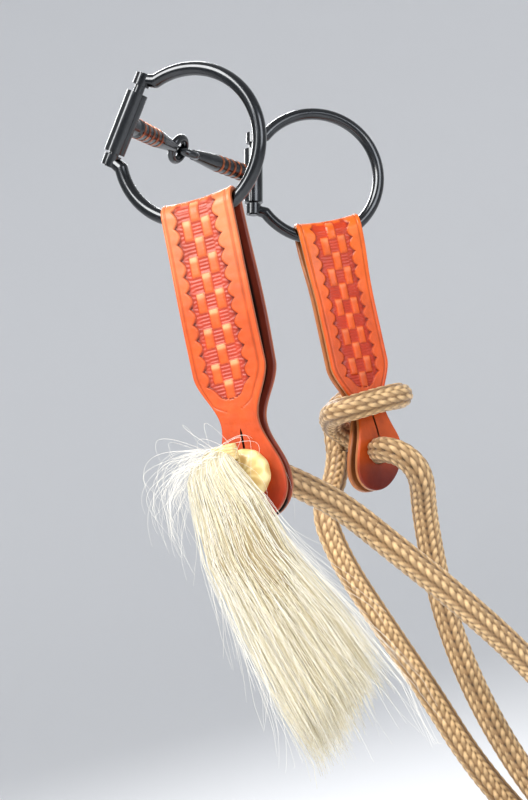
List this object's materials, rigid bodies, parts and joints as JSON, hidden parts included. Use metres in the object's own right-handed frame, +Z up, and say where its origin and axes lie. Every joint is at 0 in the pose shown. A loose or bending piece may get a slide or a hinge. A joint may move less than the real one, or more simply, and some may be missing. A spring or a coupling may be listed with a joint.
{
  "type": "snaffle bit with slobber straps and mecate",
  "caption": "Jointed loose-dee snaffle bit with folded leather slobber straps and a rope mecate: looped rein, coiled lead, rawhide button and horsehair tassel.",
  "frame": {"origin": "middle of the joint between the two halves of the mouthpiece", "axes": "+Z up as it hangs by its mouthpiece, +X along the mouthpiece from the tasselled strap's side to the rope's side"},
  "size_m": [0.2476, 0.18, 0.7052],
  "materials": {
    "blackened_steel": "satin blackened",
    "copper": "polished copper",
    "tooled_leather": "waxed, stamped basket weave",
    "red_leather": "waxed, oiled darker",
    "dark_leather": "waxed",
    "rope": "solid braid, matte",
    "horsehair": "loose hair",
    "rawhide": "varnished"
  },
  "bodies": {
    "right_mouthpiece_and_rope": {"right_cannon": "blackened_steel", "right_barrel": "blackened_steel", "right_copper_bands": "copper", "rein_left": "rope", "rein_right": "rope", "rope_tail": "rope", "rope_tail_end": "rope", "rope_coil": "rope", "coil_tie": "dark_leather", "popper": "dark_leather"},
    "left_mouthpiece": {"left_cannon": "blackened_steel", "left_barrel": "blackened_steel", "left_copper_bands": "copper"},
    "left_ring": {"left_dee_ring": "blackened_steel", "left_hinge_pin": "blackened_steel"},
    "left_strap": {"left_slobber_strap": "tooled_leather", "rope_end_in_tab": "rope", "rawhide_button": "rawhide"},
    "tassel": {"tassel_binding": "rawhide", "horsehair_tassel": "horsehair"},
    "right_ring": {"right_dee_ring": "blackened_steel", "right_hinge_pin": "blackened_steel"},
    "right_strap": {"right_slobber_strap": "red_leather", "rope_hitch": "rope"}
  },
  "joints": [
    {"name": "mouthpiece_fold", "type": "hinge", "parent": "right_mouthpiece_and_rope", "child": "left_mouthpiece", "pos_m": [0.00267, 0.00035, -0.00009], "axis": [0.1061, -0.6056, 0.7887], "range_deg": [-40, 15]},
    {"name": "left_ring_turn", "type": "hinge", "parent": "left_mouthpiece", "child": "left_ring", "pos_m": [-0.06256, -0.00917, 0.00328], "axis": [0.1061, -0.6056, 0.7887], "range_deg": [-50, 20], "deforming": ["rein_left"]},
    {"name": "left_strap_swing", "type": "hinge", "parent": "left_ring", "child": "left_strap", "pos_m": [-0.05878, -0.03721, -0.05515], "axis": [0.1574, -0.9872, -0.025], "range_deg": [-15, 15]},
    {"name": "tassel_swing", "type": "hinge", "parent": "left_strap", "child": "tassel", "pos_m": [-0.0844, -0.03739, -0.1691], "axis": [0.1574, -0.9872, -0.025], "range_deg": [-60, 0]},
    {"name": "right_ring_turn", "type": "hinge", "parent": "right_mouthpiece_and_rope", "child": "right_ring", "pos_m": [0.06219, -0.00861, -0.00822], "axis": [0.1265, -0.1905, 0.9735], "range_deg": [-20, 40], "deforming": ["rein_right", "rope_tail"]},
    {"name": "right_strap_swing", "type": "hinge", "parent": "right_ring", "child": "right_strap", "pos_m": [0.08422, -0.03619, -0.05235], "axis": [0.6086, -0.7932, -0.0207], "range_deg": [-15, 15]}
  ]
}
